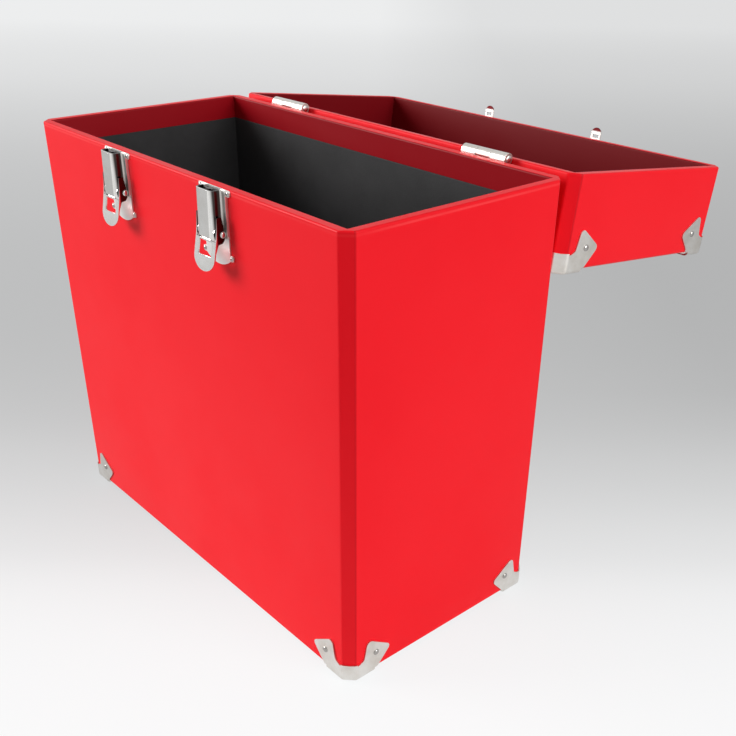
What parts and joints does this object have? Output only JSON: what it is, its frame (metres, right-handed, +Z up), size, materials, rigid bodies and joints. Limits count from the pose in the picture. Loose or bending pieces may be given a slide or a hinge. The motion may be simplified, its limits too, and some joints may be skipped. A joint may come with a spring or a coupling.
{
  "type": "record carrying case",
  "caption": "Tall covered board case for twelve-inch records with a deep hinged lid drawn open, spring latches, pressed metal corners and a swinging handle.",
  "frame": {"origin": "on the floor under the middle of the body, 2.5 mm below its flat underside", "axes": "+X to the right along the latch side as seen from the front, +Y to the hinges at the back, +Z up"},
  "size_m": [0.354, 0.3686, 0.3057],
  "materials": {
    "board": "raw fibreboard",
    "leatherette": "smooth semi-gloss leatherette",
    "lining": "matt black lining paper",
    "pressed_nickel": "bright nickel plate, slightly worn",
    "latch_nickel": "polished nickel plate",
    "hinge_steel": "nickel plated sheet",
    "rivet": "polished domes",
    "pin": "plain drawn steel",
    "spring_steel": "drawn spring wire",
    "grip": "moulded grip, satin",
    "bail": "nickel plated"
  },
  "bodies": {
    "body": {"body_back_board": "board", "body_bottom_board": "board", "body_corner_back_left": "pressed_nickel", "body_corner_back_right": "pressed_nickel", "body_corner_front_left": "pressed_nickel", "body_corner_front_right": "pressed_nickel", "body_corner_rivets": "rivet", "body_cover": "leatherette", "body_front_board": "board", "body_hinge_rivets": "rivet", "body_left_board": "board", "body_lining": "lining", "body_right_board": "board", "hinge_left_body_leaf": "hinge_steel", "hinge_left_pin": "pin", "hinge_right_body_leaf": "hinge_steel", "hinge_right_pin": "pin", "latch_left_housing": "latch_nickel", "latch_left_pin": "pin", "latch_left_plate": "latch_nickel", "latch_right_housing": "latch_nickel", "latch_right_pin": "pin", "latch_right_plate": "latch_nickel", "latch_rivets": "rivet"},
    "lid": {"handle_bracket_left": "latch_nickel", "handle_bracket_right": "latch_nickel", "handle_bracket_rivets": "rivet", "handle_pin_left": "pin", "handle_pin_right": "pin", "hinge_left_lid_leaf": "hinge_steel", "hinge_right_lid_leaf": "hinge_steel", "keeper_left": "latch_nickel", "keeper_right": "latch_nickel", "keeper_rivets": "rivet", "lid_back_board": "board", "lid_corner_back_left": "pressed_nickel", "lid_corner_back_right": "pressed_nickel", "lid_corner_front_left": "pressed_nickel", "lid_corner_front_right": "pressed_nickel", "lid_corner_rivets": "rivet", "lid_cover": "leatherette", "lid_front_board": "board", "lid_hinge_rivets": "rivet", "lid_left_board": "board", "lid_lining": "lining", "lid_right_board": "board", "lid_top_board": "board"},
    "handle": {"handle_core": "bail", "handle_grip": "grip"},
    "latch_left": {"latch_left_lever": "latch_nickel", "latch_left_spring": "spring_steel"},
    "latch_right": {"latch_right_lever": "latch_nickel", "latch_right_spring": "spring_steel"}
  },
  "joints": [
    {"name": "lid_hinge", "type": "hinge", "parent": "body", "child": "lid", "pos_m": [0, 0.08985, 0.30195], "axis": [1, 0, 0], "range_deg": [0, 187.1]},
    {"name": "handle_hinge", "type": "hinge", "parent": "lid", "child": "handle", "pos_m": [0, 0.17071, 0.22421], "axis": [1, 0, 0], "range_deg": [-93.1, 78.9]},
    {"name": "latch_left_hinge", "type": "hinge", "parent": "body", "child": "latch_left", "pos_m": [-0.05745, -0.0893, 0.27554], "axis": [-1, 0, 0], "range_deg": [0, 6], "stiffness_Nm_per_rad": 0.05, "springref_deg": -17.19},
    {"name": "latch_right_hinge", "type": "hinge", "parent": "body", "child": "latch_right", "pos_m": [0.05745, -0.0893, 0.27554], "axis": [-1, 0, 0], "range_deg": [0, 6], "stiffness_Nm_per_rad": 0.05, "springref_deg": -17.19}
  ]
}
